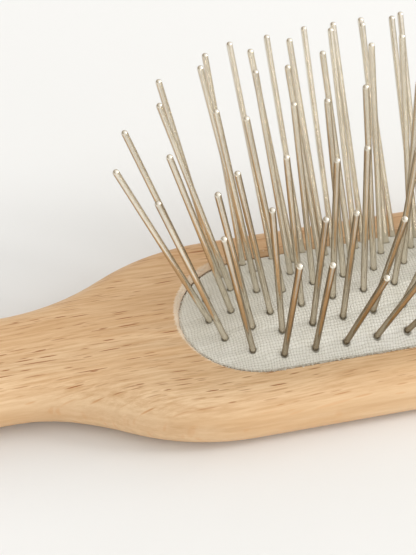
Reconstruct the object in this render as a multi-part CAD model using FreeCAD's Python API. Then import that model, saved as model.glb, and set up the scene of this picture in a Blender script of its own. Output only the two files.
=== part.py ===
import FreeCAD, Part
import math
import os

from FreeCAD import Vector

# Wooden pin brush lying on its back, in millimetres. X runs along the brush, with the handle
# towards -X, Y across it, and +Z the way the pins point. The origin is on the flat back of the
# head, straight under the middle of the cushion.

# ---- driving dimensions: wooden body ----
BODY_THICKNESS = 9.5
HEAD_HALF_WIDTH = 19.0
SHOULDER_X = -39.5            # where the head starts to narrow
SHOULDER_RADIUS = 36.0
NECK_X = -74.5                # narrowest place of the handle
NECK_HALF_WIDTH = 9.2
GRIP_X = -122.0               # widest place of the grip
GRIP_HALF_WIDTH = 11.6
GRIP_RADIUS = 60.0
HANDLE_END_RADIUS = 8.5
EDGE_ROUND = 4.0              # top and bottom edges of the body
HANDLE_LIFT = 0.8             # the handle's underside clears the table by this much
LIFT_START_X = -56.0
LIFT_RUN = 16.0

# ---- driving dimensions: pocket for the cushion ----
POCKET_RADIUS = 12.1          # half its width, and the radius of its round ends
POCKET_HALF_LENGTH = 47.0
POCKET_FLOOR_Z = 3.2
GROOVE_Z = (6.0, 7.6)         # undercut that holds the cushion's flange
GROOVE_DEPTH = 1.4
RIM_CHAMFER = 0.8

# ---- driving dimensions: cushion ----
CUSHION_EDGE_Z = 8.9          # fabric face at the rim, just under the wood's face
CROWN_HEIGHT = 6.4            # rise of the fabric face from the rim to the middle
CROWN_END_DROP = 5.0          # how much lower the crown's ridge would be at the pocket's ends
CUSHION_GAP = 0.25            # between the cushion's edge and the wood
FABRIC_THICKNESS = 0.5
GLUE_GAP = 0.02
RUBBER_THICKNESS = 1.2
SKIRT_THICKNESS = 0.8
FLANGE_REACH = 1.1            # how far the flange reaches into the wood's groove
FLANGE_CLEARANCE = 0.1

# ---- driving dimensions: pins ----
WIRE_RADIUS = 0.46
PIN_EXPOSED = 35.0            # fabric face to tip
PIN_HEAD_RADIUS = 1.1
PIN_HEAD_THICKNESS = 0.5
PIN_HEAD_DEPTH = 2.4          # fabric face to the top of the flat head, along the pin
PIN_HOLE_CLEARANCE = 0.08
ROW_PITCH = 3.4               # between neighbouring rows, across the brush
ROW_NAMES = ("a", "b", "c", "d", "e", "f", "g")
ROW_FIRST_X = (33.5, 33.0, 34.0, 31.2, 29.0, 27.4, 30.0)   # last straight pin, each way from the middle
ROW_COUNTS = (15, 15, 15, 14, 13, 12, 13)                  # pins in the straight part of each row
END_RING_X = 33.0             # centre of the rings of pins that close each end
END_RINGS = ((9.9, (60, 32, 6, -20, -51, -79)), (6.5, (50, 8, -34, -80)), (2.3, (-36,)))
FAN_LENGTHWISE = 0.006        # lean per millimetre from the middle, along the brush
FAN_FADE = 0.63               # how much less that is in the outermost rows
FAN_END = 0.017               # more lean per millimetre beyond the straight part
FAN_CROSSWISE = 0.91          # lean across the brush, as a share of the crown's own slope
FAN_EASING = 0.25             # how much the outermost rows lean less than that
UNEVEN_LEAN = 0.025           # size of the irregular lean that pins set in a soft pad have
UNEVEN_ALONG = 0.9            # how fast it changes along the brush, in radians per millimetre
UNEVEN_ACROSS = 0.7           # and across it
PINS_PER_NODE = 3

STRAIGHT_HALF = POCKET_HALF_LENGTH - POCKET_RADIUS
MIDDLE_ROW = len(ROW_NAMES) // 2


def arc(start, middle, end):
    return Part.Arc(Vector(*start), Vector(*middle), Vector(*end)).toShape()


def line(start, end):
    return Part.LineSegment(Vector(*start), Vector(*end)).toShape()


def point_on_circle(centre, radius, angle):
    return (centre[0] + radius * math.cos(angle), centre[1] + radius * math.sin(angle), 0)


def circle_arc(centre, radius, start_angle, end_angle):
    ends = [point_on_circle(centre, radius, a) for a in (start_angle, end_angle)]
    middle = point_on_circle(centre, radius, (start_angle + end_angle) / 2)
    return arc(ends[0], middle, ends[1])


def mirrored_in_y(edge):
    return edge.mirror(Vector(0, 0, 0), Vector(0, 1, 0))


def racetrack(radius, low_z, high_z):
    """A prism with straight sides and half-round ends, centred on the pocket."""
    box = Part.makeBox(2 * STRAIGHT_HALF, 2 * radius, high_z - low_z,
                       Vector(-STRAIGHT_HALF, -radius, low_z))
    solid = box
    for x in (-STRAIGHT_HALF, STRAIGHT_HALF):
        solid = solid.fuse(Part.makeCylinder(radius, high_z - low_z, Vector(x, 0, low_z)))
    return solid.removeSplitter()


def body_outline():
    """The wooden body seen from above: tangent arcs from the head's round end to the handle's."""
    end_x = STRAIGHT_HALF
    edges = [circle_arc((end_x, 0), HEAD_HALF_WIDTH, 0, math.pi / 2)]
    edges.append(line((end_x, HEAD_HALF_WIDTH, 0), (SHOULDER_X, HEAD_HALF_WIDTH, 0)))

    # shoulder: an outward arc, then an inward arc that ends level at the neck
    drop = HEAD_HALF_WIDTH - NECK_HALF_WIDTH
    turn = 2 * math.atan(drop / (SHOULDER_X - NECK_X))
    neck_radius = drop / (1 - math.cos(turn)) - SHOULDER_RADIUS
    edges.append(circle_arc((SHOULDER_X, HEAD_HALF_WIDTH - SHOULDER_RADIUS), SHOULDER_RADIUS,
                            math.pi / 2, math.pi / 2 + turn))
    edges.append(circle_arc((NECK_X, NECK_HALF_WIDTH + neck_radius), neck_radius,
                            turn - math.pi / 2, -math.pi / 2))

    # neck to grip: the same two arcs the other way, much flatter
    rise = GRIP_HALF_WIDTH - NECK_HALF_WIDTH
    turn = 2 * math.atan(rise / (NECK_X - GRIP_X))
    flat_radius = rise / (1 - math.cos(turn)) / 2
    edges.append(circle_arc((NECK_X, NECK_HALF_WIDTH + flat_radius), flat_radius,
                            -math.pi / 2, -math.pi / 2 - turn))
    edges.append(circle_arc((GRIP_X, GRIP_HALF_WIDTH - flat_radius), flat_radius,
                            math.pi / 2 - turn, math.pi / 2))

    # grip to the round end of the handle
    grip_centre_y = GRIP_HALF_WIDTH - GRIP_RADIUS
    reach = GRIP_RADIUS - HANDLE_END_RADIUS
    end_centre_x = GRIP_X - math.sqrt(reach ** 2 - grip_centre_y ** 2)
    tangent_angle = math.atan2(-grip_centre_y, end_centre_x - GRIP_X)
    edges.append(circle_arc((GRIP_X, grip_centre_y), GRIP_RADIUS, math.pi / 2, tangent_angle))
    edges.append(circle_arc((end_centre_x, 0), HANDLE_END_RADIUS, tangent_angle, math.pi))

    edges += [mirrored_in_y(edge) for edge in edges]
    return Part.Wire(Part.__sortEdges__(edges))


def handle_lift_cutter():
    """What is taken off under the handle, with a smooth way up from the flat back."""
    low = -5.0
    past_end_x = -160.0
    top_x = LIFT_START_X - LIFT_RUN
    middle_x = LIFT_START_X - LIFT_RUN / 2
    turn = 2 * math.atan(HANDLE_LIFT / LIFT_RUN)
    radius = HANDLE_LIFT / (1 - math.cos(turn)) / 2
    part_way = radius * math.sin(turn / 2)
    part_rise = radius * (1 - math.cos(turn / 2))
    edges = [
        arc((LIFT_START_X, 0, 0), (LIFT_START_X - part_way, 0, part_rise),
            (middle_x, 0, HANDLE_LIFT / 2)),
        arc((middle_x, 0, HANDLE_LIFT / 2), (top_x + part_way, 0, HANDLE_LIFT - part_rise),
            (top_x, 0, HANDLE_LIFT)),
        line((top_x, 0, HANDLE_LIFT), (past_end_x, 0, HANDLE_LIFT)),
        line((past_end_x, 0, HANDLE_LIFT), (past_end_x, 0, low)),
        line((past_end_x, 0, low), (LIFT_START_X, 0, low)),
        line((LIFT_START_X, 0, low), (LIFT_START_X, 0, 0)),
    ]
    face = Part.Face(Part.Wire(edges))
    face.translate(Vector(0, -40, 0))
    return face.extrude(Vector(0, 80, 0))


def is_outer_edge_of(edge, low_z, high_z):
    box = edge.BoundBox
    return box.ZMin >= low_z and box.ZMax <= high_z


def brush_body():
    blank = Part.Face(body_outline()).extrude(Vector(0, 0, BODY_THICKNESS))
    blank = blank.cut(handle_lift_cutter())
    top = [e for e in blank.Edges if is_outer_edge_of(e, BODY_THICKNESS - 0.01, BODY_THICKNESS + 0.01)]
    blank = blank.makeFillet(EDGE_ROUND, top)
    bottom = [e for e in blank.Edges
              if is_outer_edge_of(e, -0.01, HANDLE_LIFT + 0.01)
              and not is_across_the_back(e)]
    blank = blank.makeFillet(EDGE_ROUND, bottom)
    pocket = racetrack(POCKET_RADIUS, POCKET_FLOOR_Z, BODY_THICKNESS + 1)
    groove = racetrack(POCKET_RADIUS + GROOVE_DEPTH, *GROOVE_Z)
    body = blank.cut(pocket.fuse(groove))
    rim = [e for e in body.Edges
           if is_outer_edge_of(e, BODY_THICKNESS - 0.01, BODY_THICKNESS + 0.01)
           and e.BoundBox.YMax < POCKET_RADIUS + 0.01 and e.BoundBox.YMin > -POCKET_RADIUS - 0.01
           and e.BoundBox.XMin > -POCKET_HALF_LENGTH - 0.01]
    return body.makeChamfer(RIM_CHAMFER, rim)


def is_across_the_back(edge):
    """True for the straight edges that cross the underside where the handle starts to lift."""
    box = edge.BoundBox
    return box.XLength < 0.01 and box.YLength > NECK_HALF_WIDTH


def distance_from_spine(x, y):
    beyond = max(abs(x) - STRAIGHT_HALF, 0)
    return math.hypot(beyond, y)


def crown_rise(x):
    return CROWN_HEIGHT - CROWN_END_DROP * (x / POCKET_HALF_LENGTH) ** 2


def fabric_z(x, y):
    """Height of the crowned fabric face: held level at the rim, highest in the middle."""
    share = distance_from_spine(x, y) / POCKET_RADIUS
    return CUSHION_EDGE_Z + crown_rise(x) * (1 - share ** 2)


def crown_sheet(thickness, drop, radius):
    """A sheet of constant upright thickness that follows the crown, cut to the pocket's shape."""
    margin = 1.0
    half_x = POCKET_HALF_LENGTH + margin
    half_y = POCKET_RADIUS + margin
    columns = 41
    lines = 17
    grid = []
    for i in range(columns):
        x = -half_x + 2 * half_x * i / (columns - 1)
        ys = [-half_y + 2 * half_y * j / (lines - 1) for j in range(lines)]
        grid.append([Vector(x, y, fabric_z(x, y) - drop) for y in ys])
    surface = Part.BSplineSurface()
    surface.interpolate(grid)
    slab = surface.toShape().extrude(Vector(0, 0, -thickness))
    return slab.common(racetrack(radius, 0, 2 * BODY_THICKNESS + CROWN_HEIGHT))


def pin_places():
    """Where each pin leaves the fabric, row by row: straight rows, closed by rings at the ends."""
    rows = [[] for _ in ROW_NAMES]
    for index, (first_x, count) in enumerate(zip(ROW_FIRST_X, ROW_COUNTS)):
        y = (index - MIDDLE_ROW) * ROW_PITCH
        step = 2 * first_x / (count - 1)
        rows[index] += [(-first_x + i * step, y) for i in range(count)]
    for radius, angles in END_RINGS:
        for angle in angles:
            x = END_RING_X + radius * math.cos(math.radians(angle))
            y = -radius * math.sin(math.radians(angle))
            index = MIDDLE_ROW + round(y / ROW_PITCH)
            rows[index] += [(-x, y), (x, y)]
    return [sorted(row) for row in rows]


def uneven(x, y):
    """Small irregular lean along and across the brush, as hand setting gives; it follows no real pins."""
    return (UNEVEN_LEAN * math.sin(UNEVEN_ALONG * x + UNEVEN_ACROSS * y),
            UNEVEN_LEAN * math.sin(UNEVEN_ACROSS * x - UNEVEN_ALONG * y))


def pin_direction(x, y):
    beyond = math.copysign(max(abs(x) - STRAIGHT_HALF, 0), x)
    share = (y / POCKET_RADIUS) ** 2
    lean_x = FAN_LENGTHWISE * x * (1 - FAN_FADE * share) + FAN_END * beyond
    slope = 2 * crown_rise(x) / POCKET_RADIUS ** 2
    lean_y = FAN_CROSSWISE * slope * y / (1 + FAN_EASING * share)
    extra_x, extra_y = uneven(x, y)
    return Vector(lean_x + extra_x, lean_y + extra_y, 1).normalize()


def pin(x, y):
    """One wire pin: a flat head under the rubber, a straight shank and a domed tip."""
    foot = Vector(x, y, fabric_z(x, y))
    along = pin_direction(x, y)
    head_top = foot - along * PIN_HEAD_DEPTH
    shank_length = PIN_HEAD_DEPTH + PIN_EXPOSED - WIRE_RADIUS
    half_profile = [
        line((0, 0, -PIN_HEAD_THICKNESS), (PIN_HEAD_RADIUS, 0, -PIN_HEAD_THICKNESS)),
        line((PIN_HEAD_RADIUS, 0, -PIN_HEAD_THICKNESS), (PIN_HEAD_RADIUS, 0, 0)),
        line((PIN_HEAD_RADIUS, 0, 0), (WIRE_RADIUS, 0, 0)),
        line((WIRE_RADIUS, 0, 0), (WIRE_RADIUS, 0, shank_length)),
        arc((WIRE_RADIUS, 0, shank_length),
            (WIRE_RADIUS * math.sqrt(0.5), 0, shank_length + WIRE_RADIUS * math.sqrt(0.5)),
            (0, 0, shank_length + WIRE_RADIUS)),
        line((0, 0, shank_length + WIRE_RADIUS), (0, 0, -PIN_HEAD_THICKNESS)),
    ]
    solid = Part.Face(Part.Wire(half_profile)).revolve(Vector(0, 0, 0), Vector(0, 0, 1), 360)
    solid.Placement = FreeCAD.Placement(head_top, FreeCAD.Rotation(Vector(0, 0, 1), along))
    return solid


def pin_holes():
    """Round holes along every pin, for the rubber and the fabric."""
    radius = WIRE_RADIUS + PIN_HOLE_CLEARANCE
    reach = 3.0
    holes = []
    for row in pin_places():
        for x, y in row:
            foot = Vector(x, y, fabric_z(x, y))
            along = pin_direction(x, y)
            holes.append(Part.makeCylinder(radius, 2 * reach, foot - along * reach, along))
    return holes


def cushion_fabric(holes):
    sheet = crown_sheet(FABRIC_THICKNESS, 0, POCKET_RADIUS - CUSHION_GAP)
    return sheet.cut(holes)


def cushion_rubber(holes):
    """The crowned rubber sheet, with a skirt down its edge and a flange held in the groove."""
    drop = FABRIC_THICKNESS + GLUE_GAP
    outer = POCKET_RADIUS - CUSHION_GAP
    inner = outer - SKIRT_THICKNESS
    flange_low = GROOVE_Z[0] + FLANGE_CLEARANCE
    flange_high = GROOVE_Z[1] - FLANGE_CLEARANCE
    skirt_high = CUSHION_EDGE_Z - drop - RUBBER_THICKNESS / 2
    skirt = racetrack(outer, flange_low, skirt_high)
    flange = racetrack(POCKET_RADIUS + FLANGE_REACH, flange_low, flange_high)
    chamber = racetrack(inner, flange_low - 1, skirt_high + 1)
    edge = skirt.fuse(flange).cut(chamber)
    sheet = crown_sheet(RUBBER_THICKNESS, drop, outer)
    return sheet.cut(holes).fuse(edge)


def save(name, shape):
    shape.exportStep(os.path.join("parts", name + ".step"))


def main():
    os.makedirs("parts", exist_ok=True)
    holes = pin_holes()
    save("brush_body", brush_body())
    save("cushion_rubber", cushion_rubber(holes))
    save("cushion_fabric", cushion_fabric(holes))
    for name, row in zip(ROW_NAMES, pin_places()):
        for start in range(0, len(row), PINS_PER_NODE):
            group = [pin(x, y) for x, y in row[start:start + PINS_PER_NODE]]
            save(f"pins_row_{name}_{start // PINS_PER_NODE + 1}", Part.makeCompound(group))


main()
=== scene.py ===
import math

import bpy
import numpy as np
from mathutils import Matrix, Vector


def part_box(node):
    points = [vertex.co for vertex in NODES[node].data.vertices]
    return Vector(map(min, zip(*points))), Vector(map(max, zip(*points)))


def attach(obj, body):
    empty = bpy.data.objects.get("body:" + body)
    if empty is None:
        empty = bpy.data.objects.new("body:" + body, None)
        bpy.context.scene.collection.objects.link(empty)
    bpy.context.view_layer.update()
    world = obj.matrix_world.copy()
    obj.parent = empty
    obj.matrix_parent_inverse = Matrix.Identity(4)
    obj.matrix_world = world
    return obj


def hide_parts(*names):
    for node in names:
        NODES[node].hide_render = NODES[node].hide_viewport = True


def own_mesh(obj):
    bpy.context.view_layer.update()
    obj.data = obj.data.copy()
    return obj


# A wooden pin brush on its back, seen from above the handle. Lengths in the comments and in
# the shape code are millimetres, and MM turns them into the frame's metres.

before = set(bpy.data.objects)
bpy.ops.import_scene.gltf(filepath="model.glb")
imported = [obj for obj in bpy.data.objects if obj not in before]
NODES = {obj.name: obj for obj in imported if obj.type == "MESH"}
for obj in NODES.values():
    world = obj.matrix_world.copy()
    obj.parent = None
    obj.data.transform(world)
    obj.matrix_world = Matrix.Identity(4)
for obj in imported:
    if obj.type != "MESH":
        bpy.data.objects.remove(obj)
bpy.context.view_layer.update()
SCENE = bpy.context.scene
MM = 0.001

# ---- the cushion's shape, as the CAD solids have it ----
FABRIC_LOW, FABRIC_HIGH = [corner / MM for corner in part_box("cushion_fabric")]
RUBBER_LOW, RUBBER_HIGH = [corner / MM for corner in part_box("cushion_rubber")]
FABRIC_EDGE = FABRIC_HIGH.y            # outline radius of the fabric at its straight sides
POCKET_RADIUS = FABRIC_EDGE + 0.25
POCKET_HALF = FABRIC_HIGH.x + 0.25
STRAIGHT_HALF = POCKET_HALF - POCKET_RADIUS
EDGE_Z = 8.9
CROWN = FABRIC_HIGH.z - EDGE_Z
CROWN_END_DROP = 5.0
FABRIC_THICKNESS = 0.5
RUBBER_THICKNESS = 1.2
WIRE_RADIUS = 0.46
CHAMFER_Z = EDGE_Z - 0.2               # where the wood's bevelled rim starts, at the pocket's wall

# ---- how the cloth's cut edge lies: drawn towards -Y, by these shares of the outward direction ----
EDGE_OUT = 0.14
EDGE_SKEW = 0.46

# ---- light ----
SKY_TOWARD = (0.86, -0.30, 0.42)       # the bright side of the studio
SKY_LOW = 0.235
SKY_HIGH = 1.385
SKY_WARM = (1.0, 0.88, 0.72, 1)
SKY_WHITE = (1.0, 0.998, 0.992, 1)
KEY_POWER = 7.8


def outline_distance(x, y):
    """Distance from the pocket's spine: the pocket's wall is where it equals POCKET_RADIUS."""
    return np.hypot(np.maximum(np.abs(x) - STRAIGHT_HALF, 0), y)


def crown_z(x, y):
    rise = CROWN - CROWN_END_DROP * (x / POCKET_HALF) ** 2
    return EDGE_Z + rise * (1 - (outline_distance(x, y) / POCKET_RADIUS) ** 2)


# ---------------------------------------------------------------- camera, floor, light
def make_camera():
    """Looks down over the handle's shoulder at the near end of the cushion."""
    place = Vector((-80.6, -155.6, 173.65)) * MM
    elevation, azimuth, roll = math.radians(44.17), math.radians(13.64), math.radians(0.57)
    ahead = Vector((math.sin(azimuth) * math.cos(elevation),
                    math.cos(azimuth) * math.cos(elevation), -math.sin(elevation)))
    level_right = Vector((math.cos(azimuth), -math.sin(azimuth), 0))
    level_up = level_right.cross(ahead)
    right = level_right * math.cos(roll) + level_up * math.sin(roll)
    up = level_up * math.cos(roll) - level_right * math.sin(roll)
    data = bpy.data.cameras.new("camera")
    data.sensor_width = 36
    data.lens = 97.6
    data.clip_start = 0.005
    data.clip_end = 10
    camera = bpy.data.objects.new("camera", data)
    camera.matrix_world = Matrix((
        (right.x, up.x, -ahead.x, place.x),
        (right.y, up.y, -ahead.y, place.y),
        (right.z, up.z, -ahead.z, place.z),
        (0, 0, 0, 1)))
    SCENE.collection.objects.link(camera)
    SCENE.camera = camera


def area_light(name, place, target, size, power, colour=(1, 1, 1)):
    data = bpy.data.lights.new(name, "AREA")
    data.shape = "DISK"
    data.size = size
    data.energy = power
    data.color = colour
    light = bpy.data.objects.new(name, data)
    light.location = place
    light.rotation_euler = (Vector(target) - Vector(place)).to_track_quat("-Z", "Y").to_euler()
    SCENE.collection.objects.link(light)


def make_stage():
    size = 1.5
    corners = [(-size, -size, -0.0001), (size, -size, -0.0001), (size, size, -0.0001), (-size, size, -0.0001)]
    mesh = bpy.data.meshes.new("floor")
    mesh.from_pydata(corners, [], [(0, 1, 2, 3)])
    mesh.materials.append(paper())
    floor = bpy.data.objects.new("floor", mesh)
    SCENE.collection.objects.link(floor)
    make_world()
    area_light("key", (1.10, -0.25, 0.68), (0, 0, 0.01), 0.34, KEY_POWER, (1.0, 0.99, 0.97))
    SCENE.view_settings.view_transform = "Standard"


def make_world():
    """A soft white studio, brightest overhead and to the right."""
    world = bpy.data.worlds.new("studio")
    world.use_nodes = True
    tree = world.node_tree
    background = tree.nodes["Background"]
    way = tree.nodes.new("ShaderNodeTexCoord")
    toward = tree.nodes.new("ShaderNodeVectorMath")
    toward.operation = "DOT_PRODUCT"
    toward.inputs[1].default_value = Vector(SKY_TOWARD).normalized()
    spread = tree.nodes.new("ShaderNodeMapRange")
    for key, number in (("From Min", -1), ("From Max", 1), ("To Min", SKY_LOW), ("To Max", SKY_HIGH)):
        spread.inputs[key].default_value = number
    tree.links.new(way.outputs["Generated"], toward.inputs[0])
    tree.links.new(toward.outputs["Value"], spread.inputs["Value"])
    tree.links.new(spread.outputs[0], background.inputs["Strength"])
    tint = tree.nodes.new("ShaderNodeMix")                        # warmer where it is dim
    tint.data_type = "RGBA"
    tint.inputs[6].default_value = SKY_WARM
    tint.inputs[7].default_value = SKY_WHITE
    share = tree.nodes.new("ShaderNodeMapRange")
    share.inputs["From Min"].default_value = -0.6
    share.inputs["From Max"].default_value = 0.4
    tree.links.new(toward.outputs["Value"], share.inputs["Value"])
    tree.links.new(share.outputs[0], tint.inputs[0])
    tree.links.new(tint.outputs[2], background.inputs["Color"])
    SCENE.world = world


# ---------------------------------------------------------------- nodes
class Nodes:
    """Short names for building one material."""

    def __init__(self, name):
        self.material = bpy.data.materials.new(name)
        self.material.use_nodes = True
        self.tree = self.material.node_tree
        self.tree.nodes.clear()

    def new(self, kind, **settings):
        node = self.tree.nodes.new(kind)
        for key, value in settings.items():
            setattr(node, key, value)
        return node

    def put(self, value, socket):
        if isinstance(value, bpy.types.NodeSocket):
            self.tree.links.new(value, socket)
        else:
            socket.default_value = value

    def math(self, operation, *values, clamp=False):
        node = self.new("ShaderNodeMath", operation=operation, use_clamp=clamp)
        for value, socket in zip(values, node.inputs):
            self.put(value, socket)
        return node.outputs[0]

    def add(self, a, b):
        return self.math("ADD", a, b)

    def sub(self, a, b):
        return self.math("SUBTRACT", a, b)

    def mul(self, a, b):
        return self.math("MULTIPLY", a, b)

    def point(self):
        """The surface point's x, y and z in millimetres, in the brush's own frame."""
        where = self.new("ShaderNodeTexCoord").outputs["Object"]
        scaled = self.new("ShaderNodeVectorMath", operation="SCALE")
        self.put(where, scaled.inputs[0])
        scaled.inputs["Scale"].default_value = 1 / MM
        return self.split(scaled.outputs[0])

    def facing(self):
        """The surface normal's x, y and z, in the brush's own frame."""
        return self.split(self.new("ShaderNodeTexCoord").outputs["Normal"])

    def join(self, x, y, z):
        node = self.new("ShaderNodeCombineXYZ")
        for value, socket in zip((x, y, z), node.inputs):
            self.put(value, socket)
        return node.outputs[0]

    def split(self, vector):
        node = self.new("ShaderNodeSeparateXYZ")
        self.put(vector, node.inputs[0])
        return tuple(node.outputs)

    def noise(self, x, y, z, detail=2.0, roughness=0.5):
        node = self.new("ShaderNodeTexNoise")
        self.put(self.join(x, y, z), node.inputs["Vector"])
        node.inputs["Scale"].default_value = 1.0
        node.inputs["Detail"].default_value = detail
        node.inputs["Roughness"].default_value = roughness
        return node.outputs["Fac"]

    def mix(self, factor, a, b, blend="MIX"):
        node = self.new("ShaderNodeMix", data_type="RGBA", blend_type=blend)
        self.put(factor, node.inputs[0])
        self.put(a, node.inputs[6])
        self.put(b, node.inputs[7])
        return node.outputs[2]

    def span(self, value, low, high, to_low=0.0, to_high=1.0, smooth=False):
        node = self.new("ShaderNodeMapRange")
        node.interpolation_type = "SMOOTHSTEP" if smooth else "LINEAR"
        self.put(value, node.inputs["Value"])
        limits = {"From Min": low, "From Max": high, "To Min": to_low, "To Max": to_high}
        for key, number in limits.items():
            self.put(number, node.inputs[key])
        return node.outputs[0]

    def bump(self, height, depth, strength=1.0):
        """height is in shares of depth, and depth in millimetres."""
        node = self.new("ShaderNodeBump")
        node.inputs["Strength"].default_value = strength
        node.inputs["Distance"].default_value = depth * MM
        self.put(height, node.inputs["Height"])
        return node.outputs[0]

    def finish(self, colour, roughness, normal=None, **fixed):
        shader = self.new("ShaderNodeBsdfPrincipled")
        self.put(colour, shader.inputs["Base Color"])
        self.put(roughness, shader.inputs["Roughness"])
        if normal is not None:
            self.put(normal, shader.inputs["Normal"])
        for key, value in fixed.items():
            shader.inputs[key.replace("_", " ")].default_value = value
        out = self.new("ShaderNodeOutputMaterial")
        self.tree.links.new(shader.outputs[0], out.inputs[0])
        return self.material


def srgb(r, g, b):
    def linear(c):
        c /= 255
        return c / 12.92 if c <= 0.04045 else ((c + 0.055) / 1.055) ** 2.4
    return (linear(r), linear(g), linear(b), 1.0)


# ---------------------------------------------------------------- materials
def paper():
    n = Nodes("floor_paper")
    x, y, z = n.point()
    mottle = n.noise(n.mul(x, 0.02), n.mul(y, 0.02), 0.0)
    colour = n.mix(mottle, srgb(232, 233, 233), srgb(235, 236, 236))
    return n.finish(colour, 0.75)


def ray_flecks(n, x, across, depth, cell, size, seed):
    """Wood rays as thin lens shapes, long with the grain: how strongly one is hit, and its random tone."""
    voronoi = n.new("ShaderNodeTexVoronoi", feature="F1")
    where = (x, across, depth)
    scaled = [n.add(n.mul(where[k], 1 / cell[k]), seed + k * 7.3) for k in range(3)]
    n.put(n.join(*scaled), voronoi.inputs["Vector"])
    voronoi.inputs["Scale"].default_value = 1.0
    voronoi.inputs["Randomness"].default_value = 0.9
    centre = n.split(voronoi.outputs["Position"])
    tones = n.new("ShaderNodeSeparateColor")
    n.put(voronoi.outputs["Color"], tones.inputs[0])
    length = n.span(tones.outputs[1], 0, 1, 0.45, 1.25)
    total = None
    for k in range(3):
        part = n.mul(n.sub(scaled[k], centre[k]), cell[k] / size[k])
        if k == 0:
            part = n.math("DIVIDE", part, length)
        part = n.mul(part, part)
        total = part if total is None else n.add(total, part)
    hit = n.span(total, 1.0, 0.15, smooth=True)
    return hit, tones.outputs[0]


def beech():
    n = Nodes("beech_wood")
    x, y, z = n.point()
    nx, ny, nz = n.facing()

    # the grain wanders a little along the brush
    wander = n.sub(n.noise(n.mul(x, 0.018), n.mul(y, 0.05), n.mul(z, 0.05)), 0.5)
    across = n.add(y, n.mul(wander, 5.0))
    depth = n.add(z, n.mul(wander, 2.0))

    # growth rings, cut nearly flat by the face
    ring_radius = n.math("SQRT", n.add(n.math("POWER", n.add(across, 14.0), 2.0),
                                       n.math("POWER", n.add(depth, 52.0), 2.0)))
    rings = n.noise(n.mul(x, 0.006), n.mul(ring_radius, 0.55), 0.0, detail=3.0, roughness=0.6)
    broad = n.noise(n.mul(x, 0.022), n.mul(across, 0.11), n.mul(depth, 0.11), detail=2.0)
    fibre = n.noise(n.mul(x, 0.14), n.mul(across, 2.3), n.mul(depth, 1.7), detail=4.0, roughness=0.7)
    streak = n.noise(n.mul(x, 0.05), n.mul(across, 1.1), n.mul(depth, 0.8), detail=2.0)

    pale, mid, warm = srgb(238, 207, 167), srgb(219, 179, 133), srgb(194, 146, 95)
    colour = n.mix(n.span(broad, 0.3, 0.7), mid, pale)
    colour = n.mix(n.mul(n.span(rings, 0.45, 0.72), 0.4), colour, warm)
    colour = n.mix(n.span(streak, 0.35, 0.7, 0.0, 0.5), colour, pale)
    flat = n.span(n.math("ABSOLUTE", nz), 0.35, 0.9, 0.35, 1.0)
    colour = n.mix(n.mul(n.span(fibre, 0.40, 0.66, 0.0, 0.62), flat), colour, warm)

    # painted shade: the wood turns warmer and darker towards the far side (+Y), away from the light
    colour = n.mix(n.span(across, -2.0, 26.0, 0.0, 0.58), colour, warm)

    # painted shade: the handle darker and warmer where its surface turns down, towards the butt
    painted_underside_shade = n.mul(n.span(nz, 0.6, 0.0), n.span(x, -62.0, -92.0))     # a warmer handle where it turns under
    colour = n.mix(n.mul(painted_underside_shade, 0.55), colour, srgb(200, 152, 98))

    # rays: fine dark dashes on the face, paler orange lenses where the edge turns down
    short, tone_a = ray_flecks(n, x, across, depth, (3.2, 0.80, 3.0), (1.75, 0.112, 1.30), 3.1)
    long, tone_b = ray_flecks(n, x, across, depth, (7.0, 1.7, 4.6), (3.3, 0.15, 2.1), 11.7)
    strong_a = n.mul(short, n.span(n.mul(tone_a, tone_a), 0.0, 1.0, 0.36, 1.15))
    strong_b = n.mul(long, n.span(tone_b, 0.35, 1.0, 0.0, 1.0))
    dash = n.math("MAXIMUM", strong_a, strong_b)
    dark = n.mix(n.span(n.math("ABSOLUTE", nz), 0.35, 0.9), srgb(214, 146, 84), srgb(158, 97, 48))
    colour = n.mix(n.mul(dash, n.mul(flat, 0.95)), colour, dark)

    # the pocket's cut rim is paler and furred
    beyond = n.math("MAXIMUM", n.sub(n.math("ABSOLUTE", x), STRAIGHT_HALF), 0.0)
    rim = n.sub(n.math("SQRT", n.add(n.mul(beyond, beyond), n.mul(y, y))), POCKET_RADIUS)
    fur = n.noise(n.mul(x, 1.3), n.mul(y, 4.5), n.mul(z, 3.0), detail=3.0, roughness=0.7)
    rim = n.add(rim, n.mul(n.sub(fur, 0.5), 1.3))
    end_grain = n.span(n.math("DIVIDE", beyond, POCKET_RADIUS), 0.1, 0.75, 0.12, 1.0)
    inside = n.mul(n.span(rim, 1.0, 0.7, smooth=True), n.span(z, 8.3, 8.8))
    furred = n.mul(n.mul(inside, end_grain), n.span(fur, 0.25, 0.6, 0.5, 0.95))
    colour = n.mix(furred, colour, srgb(244, 228, 207))

    roughness = n.add(n.span(fibre, 0.2, 0.8, 0.40, 0.52), n.mul(dash, 0.12))
    relief = n.sub(n.mul(fibre, 0.25), n.mul(dash, n.mul(flat, 1.0)))
    normal = n.bump(relief, 0.03, 0.55)
    return n.finish(colour, roughness, normal, Specular_IOR_Level=0.4)


def steel():
    n = Nodes("steel_wire")
    x, y, z = n.point()
    patch = n.noise(n.mul(x, 0.30), n.mul(y, 0.30), n.mul(z, 0.10), detail=3.0)
    fine = n.noise(n.mul(x, 4.0), n.mul(y, 4.0), n.mul(z, 0.35), detail=2.0)
    colour = n.mix(n.span(patch, 0.3, 0.7), (0.90, 0.85, 0.74, 1), (0.74, 0.69, 0.60, 1))
    colour = n.mix(n.span(fine, 0.45, 0.8, 0.0, 0.25), colour, (0.46, 0.39, 0.30, 1))
    roughness = n.span(fine, 0.25, 0.75, 0.06, 0.14)
    normal = n.bump(fine, 0.004, 0.3)
    return n.finish(colour, roughness, normal, Metallic=1.0, Specular_Tint=(0.30, 0.235, 0.17, 1))


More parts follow.
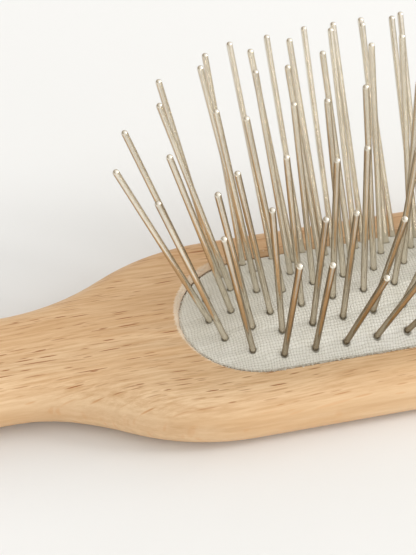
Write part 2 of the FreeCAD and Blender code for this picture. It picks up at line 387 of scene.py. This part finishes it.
def canvas():
    """A fine plain weave: threads over and under each other, with a small hole at each corner."""
    n = Nodes("cotton_canvas")
    x, y, z = n.point()
    pitch_x, pitch_y = 0.46, 0.41
    slack = n.noise(n.mul(x, 0.35), n.mul(y, 0.35), 0.0)
    slack_2 = n.noise(n.mul(x, 0.3), n.mul(y, 0.4), 7.0)
    u = n.mul(n.add(x, n.mul(n.sub(slack, 0.5), 0.9)), 1 / pitch_x)
    v = n.mul(n.add(y, n.mul(n.sub(slack_2, 0.5), 0.9)), 1 / pitch_y)
    sin_u = n.math("SINE", n.mul(u, math.pi))
    sin_v = n.math("SINE", n.mul(v, math.pi))
    over = n.span(n.mul(sin_u, sin_v), -0.12, 0.12)             # 1 where the lengthwise thread is on top
    side_u, side_v = n.math("ABSOLUTE", sin_u), n.math("ABSOLUTE", sin_v)
    long_u, long_v = n.math("POWER", side_u, 0.35), n.math("POWER", side_v, 0.35)
    lengthwise = n.mul(side_v, long_u)
    crosswise = n.mul(side_u, long_v)
    height = n.add(n.mul(lengthwise, over), n.mul(crosswise, n.sub(1.0, over)))
    hole = n.span(n.math("MAXIMUM", side_u, side_v), 0.60, 0.15, smooth=True)

    thick = n.noise(n.mul(x, 0.25), n.mul(v, 0.9), 3.0, detail=1.0)
    fuzz = n.noise(n.mul(x, 7.0), n.mul(y, 7.0), n.mul(z, 7.0), detail=3.0)
    cloud = n.noise(n.mul(x, 0.09), n.mul(y, 0.12), 1.0, detail=2.0)
    colour = n.mix(n.span(cloud, 0.3, 0.7), srgb(244, 243, 234), srgb(250, 249, 243))
    # painted shade: the cloth darker towards the far side (+Y), lighter towards -Y
    colour = n.mix(n.span(y, -11.0, 5.0, 0.0, 0.45), colour, srgb(214, 210, 194))
    colour = n.mix(n.span(thick, 0.3, 0.7, 0.0, 0.22), colour, srgb(212, 208, 194))
    # painted shade where the threads dip down between one another
    colour = n.mix(n.span(height, 0.8, 0.2, 0.0, 0.28), colour, srgb(196, 191, 176))
    colour = n.mix(n.mul(hole, n.span(fuzz, 0.3, 0.7, 0.15, 0.6)), colour, srgb(140, 135, 118))
    near = n.new("ShaderNodeAttribute", attribute_name="pin_shade").outputs["Fac"]
    colour = n.mix(n.mul(near, 0.65), colour, srgb(92, 86, 70))
    relief = n.add(n.mul(height, 1.0), n.mul(fuzz, 0.35))
    normal = n.bump(relief, 0.11, 0.8)
    return n.finish(colour, n.span(fuzz, 0.2, 0.8, 0.78, 0.92), normal,
                    Specular_IOR_Level=0.25, Sheen_Weight=0.15, Sheen_Roughness=0.5)


def thread():
    n = Nodes("cotton_thread_ends")
    x, y, z = n.point()
    fuzz = n.noise(n.mul(x, 6.0), n.mul(y, 6.0), n.mul(z, 6.0))
    colour = n.mix(fuzz, srgb(238, 232, 218), srgb(250, 246, 236))
    return n.finish(colour, 0.85, n.bump(fuzz, 0.03, 0.5), Sheen_Weight=0.2)


def rubber():
    n = Nodes("dark_rubber")
    x, y, z = n.point()
    grain = n.noise(n.mul(x, 3.0), n.mul(y, 3.0), n.mul(z, 3.0), detail=3.0)
    colour = n.mix(grain, srgb(44, 42, 38), srgb(64, 61, 55))
    roughness = n.span(grain, 0.2, 0.8, 0.5, 0.66)
    return n.finish(colour, roughness, n.bump(grain, 0.02, 0.5), Specular_IOR_Level=0.4)


# ---------------------------------------------------------------- shapes
def add_mesh(name, points, faces, material, smooth=True):
    mesh = bpy.data.meshes.new(name)
    mesh.from_pydata([tuple(p) for p in np.asarray(points, float) * MM], [], faces)
    mesh.materials.append(material)
    mesh.polygons.foreach_set("use_smooth", [smooth] * len(mesh.polygons))
    mesh.update()
    obj = bpy.data.objects.new(name, mesh)
    SCENE.collection.objects.link(obj)
    return obj


def pin_lines():
    """(foot on the crown, direction) of every pin, in mm, read from the CAD pins' own meshes."""
    found = []
    for name in sorted(NODES):
        if not name.startswith("pins_row_"):
            continue
        mesh = NODES[name].data
        points = np.array([v.co for v in mesh.vertices], float) / MM
        key = np.unique(np.round(points, 4), axis=0, return_inverse=True)[1].ravel()
        parent = np.arange(key.max() + 1)

        def root(i):
            while parent[i] != i:
                parent[i] = parent[parent[i]]
                i = parent[i]
            return i
        for polygon in mesh.polygons:
            first, *rest = [root(key[v]) for v in polygon.vertices]
            for other in rest:
                parent[root(other)] = root(first)
        group = np.array([root(k) for k in key])
        for g in np.unique(group):
            part = points[group == g]
            middle = (part.min(0) + part.max(0)) / 2
            along = np.linalg.svd(part - part.mean(0), full_matrices=False)[2][0]
            along *= np.sign(along[2])
            reach = (part - middle) @ along
            on_axis = part[reach > reach.max() - 1e-3].mean(0)     # the tip of the dome
            foot = on_axis.copy()
            for _ in range(20):
                foot = foot - along * (foot[2] - crown_z(foot[0], foot[1])) / along[2]
            found.append((foot, along))
    return found


def crown_grid(columns, lines, edge):
    """x and y of a grid over the pocket's shape, out to a given outline radius."""
    share = np.linspace(-1, 1, lines)
    share = np.sign(share) * (1 - (1 - np.abs(share)) ** 1.25)
    end = np.linspace(-1, 1, columns)
    half = STRAIGHT_HALF + edge
    x = np.sin(end * math.pi / 2 * 0.55) / math.sin(math.pi / 2 * 0.55) * half
    x[0], x[-1] = -half, half
    beyond = np.maximum(np.abs(x) - STRAIGHT_HALF, 0)
    width = np.sqrt(np.maximum(edge ** 2 - beyond ** 2, 0.01 ** 2))
    return np.repeat(x[:, None], lines, 1), width[:, None] * share[None, :]


def closed_slab(name, x, y, top, under, material):
    """A closed sheet from two height grids."""
    columns, lines = x.shape
    count = columns * lines
    sides = [np.stack([x, y, height], -1).reshape(-1, 3) for height in (top, under)]
    points = np.concatenate(sides)
    index = np.arange(count).reshape(columns, lines)
    a, b, c, d = index[:-1, :-1], index[1:, :-1], index[1:, 1:], index[:-1, 1:]
    upper = np.stack([a, b, c, d], -1).reshape(-1, 4)
    lower = upper[:, ::-1] + count
    rim = np.concatenate([index[:, 0], index[-1, 1:], index[::-1, -1][1:], index[0, ::-1][1:-1]])
    after = np.roll(rim, -1)
    wall = np.stack([rim, rim + count, after + count, after], -1)
    faces = np.concatenate([upper, lower, wall]).tolist()
    return add_mesh(name, points, faces, material)


def make_fabric(pins):
    x, y = crown_grid(760, 190, FABRIC_EDGE)
    radius = outline_distance(x, y)
    out_x = np.sign(x) * np.maximum(np.abs(x) - STRAIGHT_HALF, 0) / np.maximum(radius, 1e-6)
    out_y = y / np.maximum(radius, 1e-6)
    outer = np.clip((radius - 8) / (FABRIC_EDGE - 8), 0, 1) ** 2
    shift = (EDGE_OUT - EDGE_SKEW * out_y) * outer                         # glued a little towards -Y
    x, y = x + out_x * shift, y + out_y * shift
    top = crown_z(x, y) + (0.14 - 0.36 * out_y) * outer ** 3
    shade = np.zeros_like(top)
    for foot, along in pins:
        gap = np.hypot(x - foot[0], y - foot[1])
        lean = along[:2] / along[2]
        top -= 0.17 * np.exp(-(gap / 1.0) ** 2)                   # pulled down round each pin
        top -= 0.22 * np.exp(-(gap / 0.55) ** 4)
        pucker = ((x - foot[0]) * lean[0] + (y - foot[1]) * lean[1])
        top += 0.10 * pucker * np.exp(-(gap / 1.1) ** 2)
        shade = np.maximum(shade, np.clip((0.66 - gap) / 0.14, 0, 1))
    top += 0.05 * np.sin(x * 0.83 + 1.3 * np.sin(y * 0.5)) * np.sin(y * 0.71 + 0.6)
    top += 0.03 * np.sin(x * 2.1 + y * 0.9) * np.cos(y * 1.7 - x * 0.4)
    chamfer = CHAMFER_Z + outline_distance(x, y) - POCKET_RADIUS
    top = np.where(chamfer > CHAMFER_Z, np.maximum(top, chamfer + 0.24), top)
    top -= 0.12 * np.clip((radius - (FABRIC_EDGE - 0.3)) / 0.3, 0, 1) ** 2    # the cut edge rounds over
    on_rim = np.where(chamfer > CHAMFER_Z, chamfer + 0.04, 0)
    under = np.maximum(crown_z(x, y) - FABRIC_THICKNESS, on_rim)
    under = np.minimum(under, top - 0.05)
    obj = closed_slab("cushion_cloth", x, y, top, under, canvas())
    values = np.concatenate([shade.ravel(), np.zeros(shade.size)]).astype(np.float32)
    obj.data.attributes.new("pin_shade", "FLOAT", "POINT").data.foreach_set("value", values)
    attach(obj, "body")
    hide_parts("cushion_fabric")
    return obj


def tuft(points, faces, start, along, length, radius):
    """A thin tapered thread end with three sides, drooping a little."""
    along = Vector(along).normalized()
    side = along.orthogonal().normalized()
    other = along.cross(side)
    base = len(points)
    for k, (reach, width) in enumerate(((0, 1.0), (0.55, 0.75))):
        centre = Vector(start) + along * length * reach + Vector((0, 0, 0.06 * length * reach))
        for j in range(3):
            angle = 2 * math.pi * j / 3
            points.append(tuple(centre + (side * math.cos(angle) + other * math.sin(angle)) * radius * width))
    points.append(tuple(Vector(start) + along * length))
    for j in range(3):
        k = (j + 1) % 3
        faces.append((base + j, base + k, base + 3 + k, base + 3 + j))
        faces.append((base + 3 + j, base + 3 + k, base + 6))
    faces.append((base + 2, base + 1, base))


def around(distance, radius):
    """The point and outward direction at a distance along the racetrack of that radius, from its left end."""
    straight, turn = 2 * STRAIGHT_HALF, math.pi * radius
    distance %= 2 * (straight + turn)
    half = turn / 2
    if distance < half:
        angle = math.pi + distance / radius
        centre = -STRAIGHT_HALF
    elif distance < half + straight:
        return (-STRAIGHT_HALF + distance - half, -radius), (0.0, -1.0)
    elif distance < half + straight + turn:
        angle = -math.pi / 2 + (distance - half - straight) / radius
        centre = STRAIGHT_HALF
    elif distance < half + 2 * straight + turn:
        return (STRAIGHT_HALF - (distance - half - straight - turn), radius), (0.0, 1.0)
    else:
        angle = math.pi / 2 + (distance - half - 2 * straight - turn) / radius
        centre = -STRAIGHT_HALF
    out = (math.cos(angle), math.sin(angle))
    return (centre + radius * out[0], radius * out[1]), out


def make_fray():
    """Cut thread ends along the cloth's edge, more of them on the side nearest -Y."""
    rng = np.random.default_rng(7)
    points, faces = [], []
    radius = FABRIC_EDGE
    total = 2 * (2 * STRAIGHT_HALF + math.pi * radius)
    distance = 0.0
    while distance < total:
        (x, y), out = around(distance, radius)
        near = 0.5 - 0.5 * out[1]
        distance += rng.uniform(0.10, 0.24)
        grown = EDGE_OUT - EDGE_SKEW * out[1] - 0.07
        x, y = x + out[0] * grown, y + out[1] * grown
        length = rng.uniform(0.25, 0.45) + near ** 2 * rng.uniform(0.25, 0.85)
        lift = rng.uniform(0.50, 0.75)
        skew = rng.uniform(-0.55, 0.55)
        along = (out[0] - out[1] * skew, out[1] + out[0] * skew, lift)
        slope = CHAMFER_Z + math.hypot(max(abs(x) - STRAIGHT_HALF, 0), y) - POCKET_RADIUS
        low = max(EDGE_Z - 0.1 - 0.2 * out[1], slope + 0.17 + 0.14 * near ** 2)
        tuft(points, faces, (x, y, low), along, length, rng.uniform(0.08, 0.14))
    obj = add_mesh("cloth_thread_ends", points, faces, thread())
    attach(obj, "body")
    return obj


def make_rim_fur():
    """Torn wood fibres on the cut rim, where it crosses the grain."""
    rng = np.random.default_rng(19)
    points, faces = [], []
    for _ in range(900):
        distance = rng.uniform(0, 2 * (2 * STRAIGHT_HALF + math.pi * POCKET_RADIUS))
        (x, y), out = around(distance, POCKET_RADIUS + rng.uniform(0.1, 0.5))
        if abs(out[0]) < 0.15 and rng.uniform() < 0.7:
            continue
        depth = math.hypot(max(abs(x) - STRAIGHT_HALF, 0), y) - POCKET_RADIUS
        inward = -out[0] * rng.uniform(0.5, 1.0) + rng.normal(0, 0.2)
        along = (inward, rng.normal(0, 0.25), rng.uniform(0.1, 0.7))
        start = (x, y, 9.0 + depth - 0.02)
        tuft(points, faces, start, along, rng.uniform(0.15, 0.45), rng.uniform(0.02, 0.04))
    obj = add_mesh("rim_fibres", points, faces, thread())
    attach(obj, "body")
    return obj


def make_membrane():
    x, y = crown_grid(260, 60, FABRIC_EDGE)
    top = crown_z(x, y) - FABRIC_THICKNESS - 0.03
    obj = closed_slab("rubber_membrane", x, y, top, top - RUBBER_THICKNESS + 0.03, rubber())
    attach(obj, "body")
    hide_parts("cushion_rubber")
    return obj


def make_flange():
    """The rubber's edge: a wall under the membrane, with a rounded lip held in the wood's groove."""
    low = RUBBER_LOW.z
    high = low + 1.4
    inner, wall, lip = FABRIC_EDGE - 0.8, FABRIC_EDGE - 0.02, RUBBER_HIGH.y
    seat = EDGE_Z - FABRIC_THICKNESS
    profile = [(inner, low), (lip - 0.25, low), (lip - 0.07, low + 0.07), (lip, low + 0.25),
               (lip, high - 0.25), (lip - 0.07, high - 0.07), (lip - 0.25, high), (wall + 0.12, high),
               (wall, high + 0.12), (wall, seat - 0.3), (inner + 0.1, seat - 0.5), (inner, high)]
    stations = 260
    points = []
    for s in range(stations):
        length = 2 * (2 * STRAIGHT_HALF + math.pi * inner)
        for radius, z in profile:
            (x, y), out = around(length * s / stations, inner)
            points.append((x + out[0] * (radius - inner), y + out[1] * (radius - inner), z))
    count = len(profile)
    faces = []
    for s in range(stations):
        t = (s + 1) % stations
        for k in range(count):
            m = (k + 1) % count
            faces.append((s * count + k, t * count + k, t * count + m, s * count + m))
    obj = add_mesh("rubber_flange", points, faces, rubber())
    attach(obj, "body")
    return obj


# ---------------------------------------------------------------- the brush
make_camera()
make_stage()
wood, wire = beech(), steel()
for name, node in NODES.items():
    for material_slot in node.material_slots:
        if name == "brush_body":
            material_slot.material = wood
        elif name.startswith("pins_row_"):
            material_slot.material = wire

pins = pin_lines()
fabric = make_fabric(pins)
fray = make_fray()
fur = make_rim_fur()
membrane = make_membrane()
flange = make_flange()
for piece in (fabric, membrane, fray):
    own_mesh(piece)
